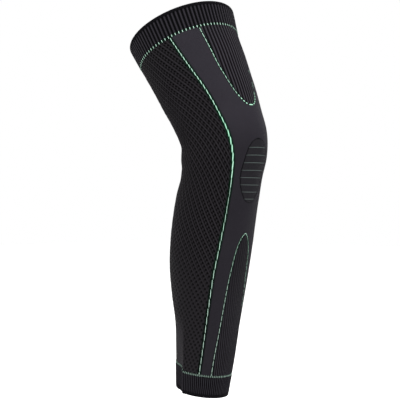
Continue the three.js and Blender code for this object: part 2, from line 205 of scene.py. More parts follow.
# The accent yarn is paler where it is pulled thin: down the leg, share of its full green.
GREEN_SHARE = 1
GREEN = np.array((
    (-188, 0.35), (-183, 0.45), (-130, 0.55), (-80, 0.6), (-60, 0.9), (-40, 1.0), (0, 0.7),
    (30, 0.4), (90, 0.5), (150, 0.35), (230, 0.2), (291, 0.2),
))

# Cuff stitches run down the leg, one on each rib, and one stitch runs across the tip of each
# insert: their lengths, the cuff stitches' widths, and the levels of their middles.
THIGH_CUFF_STITCH = 4.4
ANKLE_CUFF_STITCH = 3.2
THIGH_TIP_STITCH = 8.0
SHIN_TIP_STITCH = 4.6
THIGH_CUFF_WIDTH = 1.3
ANKLE_CUFF_WIDTH = 0.65
CUFF_LEVEL = 0.25
TIP_LEVEL = 0.2


def along(table, column, down):
    """Smooth value of one table column at places down the leg, held level past the ends."""
    xs, ys = table[:, DOWN], table[:, column]
    last = len(xs) - 1
    before = np.maximum(np.arange(last + 1) - 1, 0)
    after = np.minimum(np.arange(last + 1) + 1, last)
    slopes = (ys[after] - ys[before]) / (xs[after] - xs[before])
    place = np.clip(down, xs[0], xs[-1])
    k = np.clip(np.searchsorted(xs, place) - 1, 0, last - 1)
    span = xs[k + 1] - xs[k]
    t = (place - xs[k]) / span
    rest = 1 - t
    ends = ys[k] * (1 + 2 * t) * rest**2 + ys[k + 1] * (3 - 2 * t) * t**2
    return ends + span * t * rest * (slopes[k] * rest - slopes[k + 1] * t)


def straight(table, column, down):
    return np.interp(down, table[:, DOWN], table[:, column])


ARC_LENGTH = KNEE_ARC_END - KNEE_ARC_TOP
ARC_TURN = math.radians(THIGH_LEAN + SHANK_LEAN)
ARC_RADIUS = ARC_LENGTH / ARC_TURN


def lean_at(down):
    share = np.clip((down - KNEE_ARC_TOP) / ARC_LENGTH, 0, 1)
    return math.radians(THIGH_LEAN) - ARC_TURN * share


def fold_rise(down, angle):
    total = np.zeros(angle.shape)
    for centre, length, towards, spread, rise in FOLDS:
        aside = (angle - towards + 180) % 360 - 180
        total += rise * np.exp(-(((down - centre) / length) ** 2) - (aside / spread) ** 2)
    return total


def slip(down, angle):
    total = np.zeros(angle.shape)
    for begins, full, ends, rise, above, below in SLIPS:
        share = np.interp(angle, (begins, full, ends), (0, 1, 0))
        length = np.where(down < SLIP_DOWN, above, below)
        total += rise * share * np.exp(-(((down - SLIP_DOWN) / length) ** 2))
    return total


def cloth_points(knit_down, knit_angle, rise):
    """Points of the cloth in metres, a rise in millimetres above the plain outer face."""
    knit_down, knit_angle, rise = np.broadcast_arrays(knit_down, knit_angle, rise)
    angle = knit_angle + along(SECTIONS, TURN, knit_down)
    down = knit_down - slip(knit_down, angle)
    on_arc = np.clip(down, KNEE_ARC_TOP, KNEE_ARC_END)
    lean = lean_at(on_arc)
    middle = lean_at(0)
    past = down - on_arc
    path_forward = ARC_RADIUS * (np.cos(lean) - np.cos(middle)) + past * np.sin(lean)
    path_up = ARC_RADIUS * (np.sin(lean) - np.sin(middle)) - past * np.cos(lean)
    c = np.cos(np.radians(angle))
    s = np.sin(np.radians(angle))
    half_width = along(SECTIONS, HALF_WIDTH, down)
    depth = np.where(c > 0, along(SECTIONS, FRONT, down), along(SECTIONS, REAR, down))
    steepness = np.hypot(c / depth, s / half_width)
    lift = (rise + fold_rise(down, angle)) / steepness
    ahead = depth * c + lift * c / depth
    right = half_width * s + lift * s / half_width
    forward = path_forward + ahead * np.cos(lean)
    up = path_up + ahead * np.sin(lean)
    return np.stack([-right, -forward, up], axis=-1) * MM


def arc_per_degree(down, angle):
    """Millimetres of cloth in one degree round the leg."""
    step = cloth_points(down, angle + 0.5, 0.0) - cloth_points(down, angle - 0.5, 0.0)
    return np.linalg.norm(step, axis=-1) / MM


def needles_at(down, angle):
    """Knit coordinates of a place on the cloth: needles round the leg and courses down it."""
    down, angle = np.broadcast_arrays(down, angle)
    return np.stack([angle * NEEDLES / 360, -down / COURSE], axis=-1)


def corners(grid):
    return grid[:-1, :-1], grid[:-1, 1:], grid[1:, 1:], grid[1:, :-1]


class Mesh:
    """Triangles gathered from grids and walls, with knit coordinates for each point.

    Each point also has a shade, a share of accent tint, and on a honeycomb the shares of open cells
    and of ridges there.
    """

    WELD = 1e-7
    SHARP_ANGLE = 75.0

    def __init__(self):
        self.points = []
        self.shades = []
        self.tints = []
        self.opens = []
        self.ridges = []
        self.knit = []
        self.triangles = []
        self.count = 0

    def add(self, points, knit, shade, tinted=0.0, opened=1.0, ridged=1.0):
        """Adds an array of points and gives back their numbers in the same arrangement."""
        shape = points.shape[:-1]
        numbers = self.count + np.arange(math.prod(shape)).reshape(shape)
        self.points.append(points.reshape(-1, 3))
        self.knit.append(knit.reshape(-1, 2))
        self.shades.append(np.broadcast_to(shade, shape).reshape(-1))
        self.tints.append(np.broadcast_to(tinted, shape).reshape(-1))
        self.opens.append(np.broadcast_to(opened, shape).reshape(-1))
        self.ridges.append(np.broadcast_to(ridged, shape).reshape(-1))
        self.count += numbers.size
        return numbers

    def faces(self, a, b, c, flip=False):
        order = (a, c, b) if flip else (a, b, c)
        self.triangles.append(np.stack([v.reshape(-1) for v in order], axis=-1))

    def surface(self, numbers, flip=False):
        a, b, c, d = corners(numbers)
        self.faces(a, b, c, flip)
        self.faces(a, c, d, flip)

    def wall(self, edge, places, other, other_places, flip=False):
        """Joins two edges whose points lie at places that rise along each."""
        j = k = 0
        found = []
        while j + 1 < len(edge) or k + 1 < len(other):
            first = k + 1 == len(other)
            if not first and j + 1 < len(edge):
                first = places[j + 1] <= other_places[k + 1]
            if first:
                found.append((edge[j], edge[j + 1], other[k]))
                j += 1
            else:
                found.append((other[k + 1], other[k], edge[j]))
                k += 1
        self.faces(*np.array(found).T, flip)

    def build(self, name):
        """One smooth mesh object, welded, without the triangles that closed up to nothing."""
        points = np.concatenate(self.points)
        knit = np.concatenate(self.knit)
        cells = np.round(points / self.WELD).astype(np.int64)
        _, first, welded = np.unique(cells, axis=0, return_index=True, return_inverse=True)
        triangles = np.concatenate(self.triangles)
        joined = welded.reshape(-1)[triangles]
        a, b, c = joined.T
        kept = (a != b) & (b != c) & (c != a)
        data = bpy.data.meshes.new(name)
        data.from_pydata(points[first], [], joined[kept])
        layer = data.uv_layers.new(name="knit")
        layer.uv.foreach_set("vector", knit[triangles[kept]].astype(np.float32).ravel())
        named = {
            "shade": self.shades, "tinted": self.tints, "opened": self.opens, "ridged": self.ridges,
        }
        for title, values in named.items():
            layer = data.attributes.new(title, "FLOAT", "POINT")
            layer.data.foreach_set("value", np.concatenate(values)[first].astype(np.float32))
        data.shade_smooth()
        data.set_sharp_from_angle(angle=math.radians(self.SHARP_ANGLE))
        piece = bpy.data.objects.new(name, data)
        bpy.context.collection.objects.link(piece)
        return piece


def edge_length(points):
    return np.linalg.norm(np.diff(points, axis=0), axis=-1).sum()


class Cloth:
    """Closed knitted walls, and the flat size and area of what they were knitted to."""

    INNER_SHADE = 0.4

    def __init__(self):
        self.mesh = Mesh()
        self.width = 0.0
        self.length = 0.0
        self.area = 0.0

    def panel(self, rows, angles, rise, shade, backing, start=True, end=True, ring=False,
              knit=needles_at, **shares):
        """A wall over rows down the leg, with an angle for each row and column of the outer face.

        backing holds the fewer angles of the inner face. start and end say where the first and
        last columns are closed by a wall. knit gives the knit coordinates, and shares what else the
        outer face's points have.
        """
        mesh = self.mesh
        down = rows[:, None]
        outer = mesh.add(cloth_points(down, angles, rise), knit(down, angles), shade, **shares)
        inside = cloth_points(down, backing, -KNIT)
        inner = mesh.add(inside, knit(down, backing), self.INNER_SHADE)
        mesh.surface(outer)
        mesh.surface(inner, flip=True)
        mesh.wall(outer[0], angles[0], inner[0], backing[0], flip=True)
        mesh.wall(outer[-1], angles[-1], inner[-1], backing[-1])
        if not ring:
            self.side(rows, outer[:, 0], inner[:, 0], start, False)
            self.side(rows, outer[:, -1], inner[:, -1], end, True)
        self.measure(inside)

    def side(self, rows, outer, inner, where, flip):
        spans = np.broadcast_to(where, len(rows) - 1)
        for i in np.flatnonzero(spans):
            pair = slice(i, i + 2)
            self.mesh.wall(outer[pair], rows[pair], inner[pair], rows[pair], flip)

    def measure(self, points):
        a, b, c, d = corners(points)
        halves = np.cross(b - a, c - a), np.cross(c - a, d - a)
        self.area += sum(np.linalg.norm(h, axis=-1).sum() / 2 for h in halves)
        self.width += max(edge_length(row) for row in points)
        self.length = max(self.length, max(edge_length(line) for line in points.swapaxes(0, 1)))


# Zone edges and rows.

THIGH_TIP = THIGH_INSERT[-1, DOWN]
SHIN_TIP = SHIN_INSERT[0, DOWN]
PATCH_TOP = KNEE_PATCH[0, DOWN]
PATCH_END = KNEE_PATCH[-1, DOWN]

# Pitches of the rows, how far the close ones reach from the inserts' tips and the cuff seams, and
# the core in which a seam is darkest.
ROW_PITCH = 3.0
PATCH_PITCH = 1.5
TIP_PITCH = 0.6
TIP_REACH = 6.0
SEAM_CORE = 0.6
SEAM_REACH = 2.4
ROW_DIGITS = 3


def right_edge(down):
    return along(SIDE_LINE, RIGHT, down)


def left_edge(down):
    return along(SIDE_LINE, LEFT, down)


def thigh_edge(down):
    return np.where(down < THIGH_TIP, np.maximum(along(THIGH_INSERT, ANGLE, down), 0), 0)


def shin_edge(down):
    return np.where(down > SHIN_TIP, np.maximum(along(SHIN_INSERT, ANGLE, down), 0), 0)


def patch_edge(down):
    return straight(KNEE_PATCH, ANGLE, down)


def spaced(start, end, pitch):
    return np.linspace(start, end, max(1, round((end - start) / pitch)) + 1)


def merged(*runs):
    """All rows of some runs in order, each once."""
    return np.unique(np.concatenate(runs).round(ROW_DIGITS))


BODY_ROWS = merged(
    spaced(CUFF_SEAM, ANKLE_SEAM, ROW_PITCH),
    spaced(CUFF_SEAM, CUFF_SEAM + SEAM_REACH, TIP_PITCH),
    spaced(THIGH_TIP - TIP_REACH, THIGH_TIP, TIP_PITCH),
    spaced(SHIN_TIP, SHIN_TIP + TIP_REACH, TIP_PITCH),
    spaced(ANKLE_SEAM - SEAM_REACH, ANKLE_SEAM, TIP_PITCH),
    KNEE_PATCH[:, DOWN],
    spaced(PATCH_TOP, PATCH_END, PATCH_PITCH),
)


def rows_within(start, end):
    return BODY_ROWS[(BODY_ROWS >= start) & (BODY_ROWS <= end)]


def soft_step(value, start, end):
    t = np.clip((value - start) / (end - start), 0, 1)
    return t * t * (3 - 2 * t)


def seam_shade(down):
    """Falls to zero at the two cuff seams, where the courses are drawn in and dark."""
    away = np.minimum(abs(down - CUFF_SEAM), abs(down - ANKLE_SEAM))
    return soft_step(away, SEAM_CORE, SEAM_REACH)


# Relief of the knits, as a rise in millimetres and a shade from 0, deep, to 1, proud. A low shade
# is painted shade in the hollows, and also marks the dark seams and drawn-in edges.

RIB_STEPS = np.array((-0.5, -0.3, -0.18, 0.0, 0.18, 0.3))
RIB_HALF = 0.3
RIB_ROUNDNESS = 2.6
RIB_MEAN = 0.43


def rib_profile(angle):
    away = abs((angle / RIB_ANGLE + 0.5) % 1 - 0.5)
    return np.clip(1 - (away / RIB_HALF) ** RIB_ROUNDNESS, 0, 1)


def rib_angles(first, last):
    return ((np.arange(first, last)[:, None] + RIB_STEPS) * RIB_ANGLE).ravel()


# One cell of the honeycomb, as shares of its width from the ridge and of a row. A ridged cell has
# two small pits with a bump between them, and a plain cell one large pit.
CELL_STEPS = np.array((0.0, 0.16, 0.34, 0.52, 0.7, 0.85))
ROWS_PER_CELL = 4
RIDGE_HALF = 0.1
PIT = (0.34, 0.0)
SECOND_PIT = (0.7, 0.5)
BUMP = (0.52, 0.75)
SMALL_WIDTH, SMALL_HEIGHT = 0.16, 0.29
LARGE_WIDTH, LARGE_HEIGHT, LARGE_LEAN = 0.26, 0.41, 0.45
SECOND_SHARE = 0.75
LARGE_SHARE = 0.7
CELL_NEEDLES = 7
CELL_COURSES = 6
RIDGED_NET = 0.36
PLAIN_NET = 0.55
PULLED_SHADE = 0.82


def wrapped(value):
    return (value + 0.5) % 1 - 0.5


FINE = np.arange(CUFF_SEAM, ANKLE_SEAM + 1)


def gathered(pace):
    """Running sum of a pace per millimetre over the fine places down the leg."""
    return np.cumsum(pace) - pace[0]


RIDGE_LEAD = gathered(along(HONEYCOMB, CELLS, FINE) * along(HONEYCOMB, DRIFT, FINE) / 360)
CELL_ROWS = gathered(1 / along(HONEYCOMB, ROW, FINE))


def cell_places(down, angle):
    """Cells round the leg and rows down it, at a place on the honeycomb."""
    lead = np.interp(down, FINE, RIDGE_LEAD)
    across = (angle - CELL_MIDDLE) * along(HONEYCOMB, CELLS, down) / 360 + lead
    return across, np.broadcast_to(np.interp(down, FINE, CELL_ROWS), across.shape)


def cell_needles(down, angle):
    across, row = cell_places(down, angle)
    return np.stack([across * CELL_NEEDLES, row * CELL_COURSES], axis=-1)


def spot(across, row, centre, ridged):
    """Share of a round spot at a place in the honeycomb."""
    below = wrapped(row - centre[1])
    aside = wrapped(across - centre[0] - LARGE_LEAN * (1 - ridged) * below)
    width = LARGE_WIDTH + (SMALL_WIDTH - LARGE_WIDTH) * ridged
    height = LARGE_HEIGHT + (SMALL_HEIGHT - LARGE_HEIGHT) * ridged
    return np.exp(-((aside / width) ** 2) - (below / height) ** 2)


# The facet behind the sharp edge at the ankle, where the cells are pulled shut: spans of the angle
# over which it begins and ends, and the span down the leg over which it begins.
FACET_BEGINS = (95, 101)
FACET_ENDS = (140, 190)
FACET_DOWN = (205, 250)


def pulled_flat(down, angle):
    """Share by which the cells are pulled shut."""
    round_leg = angle + along(SECTIONS, TURN, down)
    beyond = soft_step(round_leg, *FACET_BEGINS) * (1 - soft_step(round_leg, *FACET_ENDS))
    return beyond * soft_step(down, *FACET_DOWN)


# Cloth pieces.

# Columns of the inner faces: angles round a ring, shares of a zone's width, or every few columns.
RING_BACKING = np.linspace(0, 360, RIBS + 1)
INSERT_BACKING = np.linspace(-1, 1, 9)
PATCH_BACKING = np.linspace(-1, 1, 7)
HONEYCOMB_BACKING = np.linspace(0, 1, 17)
FRONT_BACKING_STEP = 3

# Columns of the plain front: distances from its edges, and shares of the width between those.
# Columns of the knee patch: their count.
LINE_STEPS = np.array((0.0, 1.4, 2.6, 3.8))
FRONT_STEPS = np.linspace(0, 1, 13)[1:-1]
PATCH_COLUMNS = 25

# The knit is drawn in beside the accent lines, most over the core share of a border's reach. Where
# a zone has no line, its edge is an angle past every place.
SIDE_BORDER = 3.8
INSERT_BORDER = 2.4
BORDER_CORE = 0.55
NO_EDGE = 360

# Least share of the full relief or shade, where a knit is drawn in at a seam or line, and in the
# painted shadow beside a rim.
CUFF_LEAST_RISE = 0.35
CUFF_LEAST_SHADE = 0.2
ROLLED_LEAST_SHADE = 0.3
INSERT_LEAST_SHADE = 0.15
FRONT_SEAM_LEAST_SHADE = 0.1
FRONT_INSERT_LEAST_SHADE = 0.6
FRONT_SIDE_LEAST_SHADE = 0.1
HONEYCOMB_LEAST_SHADE = 0.05

# Shadow beside a rolled rim, and the groove inside the knee patch's edge.
ROLL_SHADOW = 1.8
GROOVE_SPAN = (0.7, 2.0)
GROOVE_SHADE = 0.8


def at_least(least, share):
    """A share from 0 to 1 carried onto the span from the least to 1."""
    return least + (1 - least) * share


def border_shade(down, angle, reach, start=-NO_EDGE, end=NO_EDGE):
    """Falls to zero at a zone's edges, where the knit is drawn in along the accent lines."""
    inside = np.minimum(angle - start, end - angle) * arc_per_degree(down, angle)
    return soft_step(inside, BORDER_CORE * reach, reach)


def accent_tint(down, proud):
    """Share of accent yarn that shows through where the knit isn't proud, along the lines."""
    return straight(GREEN, GREEN_SHARE, down) * (1 - proud)


def ribbed_ring(start, end):
    rows = merged(
        spaced(start, end, ROW_PITCH),
        spaced(start, start + SEAM_REACH, TIP_PITCH),
        spaced(end - SEAM_REACH, end, TIP_PITCH),
    )
    down = rows[:, None]
    angles = np.append(rib_angles(0, RIBS), (RIBS - 0.5) * RIB_ANGLE)
    profile = rib_profile(angles)[None, :] * np.ones(len(rows))[:, None]
    angles = np.broadcast_to(angles, profile.shape)
    backing = np.broadcast_to(RING_BACKING - RIB_ANGLE / 2, (len(rows), len(RING_BACKING)))
    proud = seam_shade(down)
    # Painted shadow beside the rolled rims.
    rolled = soft_step(np.minimum(down - TOP_EDGE, HEM - down), RIM_DEPTH, RIM_DEPTH + ROLL_SHADOW)
    dark_seam_and_rim_shadow = at_least(CUFF_LEAST_SHADE, proud) * at_least(ROLLED_LEAST_SHADE, rolled)
    rise = (CUFF_RISE + RIB_RISE * profile) * at_least(CUFF_LEAST_RISE, proud)
    cloth = Cloth()
    # The squared profile paints each rib lit along its crest, with painted shade down its flanks
    # and in the valleys.
    cloth.panel(rows, angles, rise, profile**2 * dark_seam_and_rim_shadow, backing, ring=True,
                tinted=accent_tint(down, proud))
    return cloth


def rib_insert(rows, edge):
    down = rows[:, None]
    limit = edge(rows)[:, None]
    reach = math.ceil(limit.max() / RIB_ANGLE)
    angles = np.clip(rib_angles(-reach, reach + 1)[None, :], -limit, limit)
    profile = rib_profile(angles)
    border = border_shade(down, angles, INSERT_BORDER, -limit, limit)
    calm = border * seam_shade(down)
    backing = limit * INSERT_BACKING[None, :]
    ribbing = straight(RIBBING, RIB_SHARE, down)
    rise = RIB_RISE * ribbing * profile * calm - LINE_SINK * (1 - border)
    # Painted shade in the valleys between the ribs, lighter along their crests.
    shade = straight(RIBBING, RIB_SHADE, down) * (RIB_MEAN + ribbing * (profile - RIB_MEAN))
    shade *= at_least(INSERT_LEAST_SHADE, calm)
    cloth = Cloth()
    cloth.panel(rows, angles, rise, shade, backing, tinted=accent_tint(down, calm))
    return cloth


def front_cloth():
    rows = BODY_ROWS
    down = rows[:, None]
    lined = np.maximum(thigh_edge(rows), shin_edge(rows))
    opening = np.maximum(lined, patch_edge(rows))
    parted = (opening[:-1] > 0) | (opening[1:] > 0)
    near = opening[:, None]
    line = np.where(lined > 0, lined, -NO_EDGE)[:, None]
    proud = seam_shade(down)
    cloth = Cloth()
    for side, edge in ((1, right_edge(rows)), (-1, left_edge(rows))):
        far = edge[:, None]
        first = near + LINE_STEPS / arc_per_degree(down, side * near)
        last = far - LINE_STEPS[::-1] / arc_per_degree(down, side * far)
        middle = first[:, -1:] + (last[:, :1] - first[:, -1:]) * FRONT_STEPS[None, :]
        spread = np.concatenate([first, middle, last], axis=1)
        inner = border_shade(down, spread, INSERT_BORDER, start=line)
        outer = border_shade(down, spread, SIDE_BORDER, end=far)
        shade = at_least(FRONT_SEAM_LEAST_SHADE, proud) * at_least(FRONT_INSERT_LEAST_SHADE, inner)
        shade *= at_least(FRONT_SIDE_LEAST_SHADE, outer)
        # Painted shade down the leg, where less of the top light falls.
        shade *= straight(PAINTED_SHADE_DOWN_LEG, PAINTED_SHADE_SHARE, down)
        border = np.minimum(inner, outer)
        rise = LINE_SINK * (border - 1)
        tinted = accent_tint(down, border * proud)
        walls = {"start": parted} if side > 0 else {"end": parted}
        order = slice(None, None, side)
        angles = side * spread[:, order]
        backing = angles[:, ::FRONT_BACKING_STEP]
        cloth.panel(rows, angles, rise[:, order], shade[:, order], backing,
                    tinted=tinted[:, order], **walls)
    return cloth


def honeycomb_cloth():
    steps = round(CELL_ROWS[-1] * ROWS_PER_CELL)
    rows = np.interp(np.linspace(0, CELL_ROWS[-1], steps + 1), CELL_ROWS, FINE)
    down = rows[:, None]
    start = right_edge(rows)[:, None]
    end = 360 - left_edge(rows)[:, None]
    first_cell = math.floor(cell_places(down, start)[0].min())
    last_cell = math.ceil(cell_places(down, end)[0].max())
    columns = (np.arange(first_cell, last_cell + 1)[:, None] + CELL_STEPS).ravel()[None, :]
    lead = np.interp(down, FINE, RIDGE_LEAD)
    angles = CELL_MIDDLE + (columns - lead) * 360 / along(HONEYCOMB, CELLS, down)
    angles = np.clip(angles, start, end)
    across, row = cell_places(down, angles)
    ridged = along(HONEYCOMB, RIDGED, down)
    ridge = ridged * np.exp(-((wrapped(across) / RIDGE_HALF) ** 2))
    first_pit = at_least(LARGE_SHARE, ridged) * spot(across, row, PIT, ridged)
    second_pit = SECOND_SHARE * ridged * spot(across, row, SECOND_PIT, ridged)
    pit = np.maximum(first_pit, second_pit)
    bump = ridged * spot(across, row, BUMP, ridged)
    flat = pulled_flat(down, angles)
    border = border_shade(down, angles, SIDE_BORDER, start, end)
    calm = border * seam_shade(down)
    open_knit = calm * (1 - flat)
    rise = (RIDGE_RISE * ridge + BUMP_RISE * bump - PIT_DEPTH * pit) * open_knit
    rise -= LINE_SINK * (1 - border)
    shade = along(HONEYCOMB, SHADE, down) * at_least(HONEYCOMB_LEAST_SHADE, calm)
    backing = start + (end - start) * HONEYCOMB_BACKING[None, :]
    cloth = Cloth()
    cloth.panel(rows, angles, rise, shade, backing, knit=cell_needles,
                tinted=accent_tint(down, calm), opened=1 - flat, ridged=ridged)
    return cloth


def patch_cloth():
    rows = rows_within(PATCH_TOP, PATCH_END)
    down = rows[:, None]
    edge = patch_edge(rows)[:, None]
    shares = np.sin(np.linspace(-0.5, 0.5, PATCH_COLUMNS) * math.pi)
    angles = edge * shares[None, :]
    inside = (edge - abs(angles)) * arc_per_degree(down, angles)
    inside = np.minimum(inside, np.minimum(down - PATCH_TOP, PATCH_END - down))
    groove = 1 - soft_step(inside, *GROOVE_SPAN)
    rise = PATCH_RISE - GROOVE_DEPTH * groove
    shade = 1 - GROOVE_SHADE * groove
    cloth = Cloth()
    cloth.panel(rows, angles, rise, shade, edge * PATCH_BACKING[None, :])
    return cloth


# A rolled rim swells past the knit on both faces and lies a little outward of its middle.
ROLL_POINTS = 15
ROLL_STEPS_PER_RIB = 3
ROLL_FLATTENING = 0.6
ROLL_SWELL = 0.5
ROLL_OUTWARD = 0.3
ROLL_SHADE = 0.5


def flattened(wave):
    """A sine or cosine pushed out toward 1 and -1, for a round with flatter sides."""
    return np.sign(wave) * abs(wave) ** ROLL_FLATTENING


def rolled_rim(start, end):
    """The rolled edge: a ring whose section is a flattened round."""
    turns = np.linspace(0, 2 * math.pi, ROLL_POINTS)
    middle = (start + end) / 2
    rows = middle - (end - start) / 2 * flattened(np.cos(turns))
    thickness = KNIT / 2 + ROLL_SWELL
    rise = -KNIT / 2 + ROLL_OUTWARD + thickness * flattened(np.sin(turns))
    angles = np.linspace(0, 360, RIBS * ROLL_STEPS_PER_RIB + 1)
    down = np.broadcast_to(rows[:, None], (len(rows), len(angles)))
    points = cloth_points(down, angles[None, :], rise[:, None])
    mesh = Mesh()
    knit = needles_at(rise[:, None] + down, angles[None, :])
    mesh.surface(mesh.add(points, knit, ROLL_SHADE))
    return mesh


# Accent yarn.

YARN_SIDES = 8
YARN_STATIONS = 7
YARN_TAPER = 0.96
TWIST = 1.4
PATH_POINTS_PER_MM = 4

# How far the stitches of a line turn from it into line with the wales.
SIDE_STRAIGHTEN = 0.6
INSERT_STRAIGHTEN = 0.2


def yarn(mesh, down, angle, width, base):
    """One stitch along a path on the cloth, round on top and drawn in at both ends."""
    arc = arc_per_degree(down, angle)
    across = np.gradient(angle) * arc
    onward = np.gradient(down)
    size = np.hypot(across, onward)
    across, onward = across / size, onward / size
    share = np.linspace(-1, 1, len(down))
    taper = np.sqrt(1 - YARN_TAPER * share**4)[:, None]
    turns = np.linspace(0, 2 * math.pi, YARN_SIDES + 1)[None, :]
    aside = taper * width / 2 * np.cos(turns)
    height = np.where(np.sin(turns) > 0, YARN_RISE, YARN_SINK)
    rise = base + taper * height * np.sin(turns)
    ring_down = down[:, None] + aside * across[:, None]
    ring_angle = angle[:, None] - aside * (onward / arc)[:, None]
    run = np.cumsum(size) / TWIST
    knit = np.stack(np.broadcast_arrays(run[:, None], turns / (2 * math.pi)), axis=-1)
    green = straight(GREEN, GREEN_SHARE, ring_down)
    numbers = mesh.add(cloth_points(ring_down, ring_angle, rise), knit, green)
    mesh.surface(numbers)
    for ring, flip in ((numbers[0], True), (numbers[-1], False)):
        mesh.faces(np.full(YARN_SIDES - 1, ring[0]), ring[1:-1], ring[2:], flip)


def stitched(mesh, path, table, straighten):
    """A row of stitches along a path of places, each turned partly into line with the wales."""
    down, angle = path
    arc = arc_per_degree(down, angle)
    steps = np.hypot(np.diff(down), np.diff(angle) * (arc[1:] + arc[:-1]) / 2)
    run = np.concatenate([[0], np.cumsum(steps)])
    place = 0.0
    while place < run[-1]:
        here = np.interp(place, run, down)
        columns = (LENGTH, GAP, WIDTH, LEVEL)
        length, gap, width, level = (straight(table, column, here) for column in columns)
        stations = np.linspace(place, min(place + length, run[-1]), YARN_STATIONS)
        part_down = np.interp(stations, run, down)
        part_angle = np.interp(stations, run, angle)
        mean = part_angle.mean()
        steep = np.ptp(part_down) > np.ptp(part_angle) * arc.mean()
        keep = 1 - straighten if steep else 1
        yarn(mesh, part_down, mean + (part_angle - mean) * keep, width, level)
        place += length + gap


def line_path(start, end, edge, side):
    down = np.linspace(start, end, round(abs(end - start) * PATH_POINTS_PER_MM) + 1)
    return down, side * edge(down)


# The lines down the leg run a little under the cuff stitches.
CUFF_OVERLAP = 0.4
LINES_START = CUFF_SEAM + THIGH_CUFF_STITCH / 2 - CUFF_OVERLAP
LINES_END = ANKLE_SEAM - ANKLE_CUFF_STITCH / 2 + CUFF_OVERLAP


def side_yarn(edge, side):
    mesh = Mesh()
    path = line_path(LINES_START, LINES_END, edge, side)
    stitched(mesh, path, SIDE_STITCHES, SIDE_STRAIGHTEN)
    return mesh


def insert_yarn(start, end, edge, table, tip, tip_length):
    """Both sides of an insert's line from the tip, and the one stitch across its tip."""
    mesh = Mesh()
    for side in (1, -1):
        stitched(mesh, line_path(start, end, edge, side), table, INSERT_STRAIGHTEN)
    reach = tip_length / 2 / arc_per_degree(np.array(tip), np.array(0.0))
    angle = np.linspace(-reach, reach, YARN_STATIONS)
    yarn(mesh, np.full(YARN_STATIONS, tip), angle, straight(table, WIDTH, tip), TIP_LEVEL)
    return mesh


def cuff_yarn(seam, length, width):
    mesh = Mesh()
    down = seam + length * np.linspace(-0.5, 0.5, YARN_STATIONS)
    for rib in range(RIBS):
        yarn(mesh, down, np.full(YARN_STATIONS, rib * RIB_ANGLE), width, CUFF_LEVEL)
    return mesh


def patch_yarn():
    mesh = Mesh()
    for stripe in range(STRIPE_COUNT):
        down = STRIPE_FIRST + stripe * STRIPE_PITCH
        reach = patch_edge(down) - STRIPE_INSET
        angle = np.linspace(-reach, reach, PATCH_COLUMNS)
        yarn(mesh, np.full(PATCH_COLUMNS, down), angle, STRIPE_WIDTH, PATCH_RISE)
    return mesh


# Materials.


def srgb(*levels):
    """Linear colour of screen levels from 0 to 255."""
    channels = [level / 255 for level in levels]
    return (*(c / 12.92 if c <= 0.04045 else ((c + 0.055) / 1.055) ** 2.4 for c in channels), 1.0)


class Shader:
    """A material and the few node forms used here."""

    SHEEN_ROUGHNESS = 0.25
    BUMP_STRENGTH = 0.6

    def __init__(self, name, roughness, sheen, specular):
        self.material = bpy.data.materials.new(name)
        self.material.use_nodes = True
        self.tree = self.material.node_tree
        self.principled = self.tree.nodes["Principled BSDF"]
        self.principled.inputs["Roughness"].default_value = roughness
        self.principled.inputs["Sheen Weight"].default_value = sheen
        self.principled.inputs["Sheen Roughness"].default_value = self.SHEEN_ROUGHNESS
        self.principled.inputs["Specular IOR Level"].default_value = specular

    def put(self, socket, value):
        if isinstance(value, bpy.types.NodeSocket):
            self.tree.links.new(value, socket)
        else:
            socket.default_value = value

    def node(self, kind, inputs=None, **settings):
        node = self.tree.nodes.new(kind)
        for key, value in settings.items():
            setattr(node, key, value)
        for key, value in (inputs or {}).items():
            self.put(node.inputs[key], value)
        return node

    def math(self, operation, *values):
        inputs = dict(enumerate(values))
        return self.node("ShaderNodeMath", inputs, operation=operation).outputs[0]

    def ramp(self, value, low, high):
        """The value carried from the span of low to high onto 0 to 1."""
        inputs = {"Value": value, "From Min": low, "From Max": high}
        return self.node("ShaderNodeMapRange", inputs).outputs["Result"]

    def mix(self, factor, first, second):
        node = self.node("ShaderNodeMix", data_type="RGBA")
        self.put(node.inputs["Factor"], factor)
        colours = [socket for socket in node.inputs if socket.type == "RGBA"]
        self.put(colours[0], first)
        self.put(colours[1], second)
        return [socket for socket in node.outputs if socket.type == "RGBA"][0]

    def attribute(self, name):
        return self.node("ShaderNodeAttribute", attribute_name=name).outputs["Fac"]

    def knit_places(self):
        uv = self.node("ShaderNodeUVMap", uv_map="knit").outputs["UV"]
        parts = self.node("ShaderNodeSeparateXYZ", {"Vector": uv})
        return parts.outputs["X"], parts.outputs["Y"]

    def noise(self, scale, detail):
        place = self.node("ShaderNodeTexCoord").outputs["Object"]
        inputs = {"Vector": place, "Scale": scale, "Detail": detail}
        return self.node("ShaderNodeTexNoise", inputs).outputs["Fac"]

    def finish(self, colour, height, distance):
        inputs = {"Height": height, "Distance": distance, "Strength": self.BUMP_STRENGTH}
        bump = self.node("ShaderNodeBump", inputs)
        self.put(self.principled.inputs["Base Color"], colour)
        self.put(self.principled.inputs["Normal"], bump.outputs["Normal"])
        return self.material


# Painted light on a ridged cell: what its ridge, the line through its bumps and the bumps add to
# the net.
# The two lines fade over a multiple of the ridge's half width, and a spot between two squared
# distances from its middle.
RIDGE_LIGHT = 0.65
BUMP_LINE_LIGHT = 0.2
BUMP_LIGHT = 0.35
RIDGE_FADE = 1.5
SPOT_FADED = 1.6
SPOT_FULL = 0.3


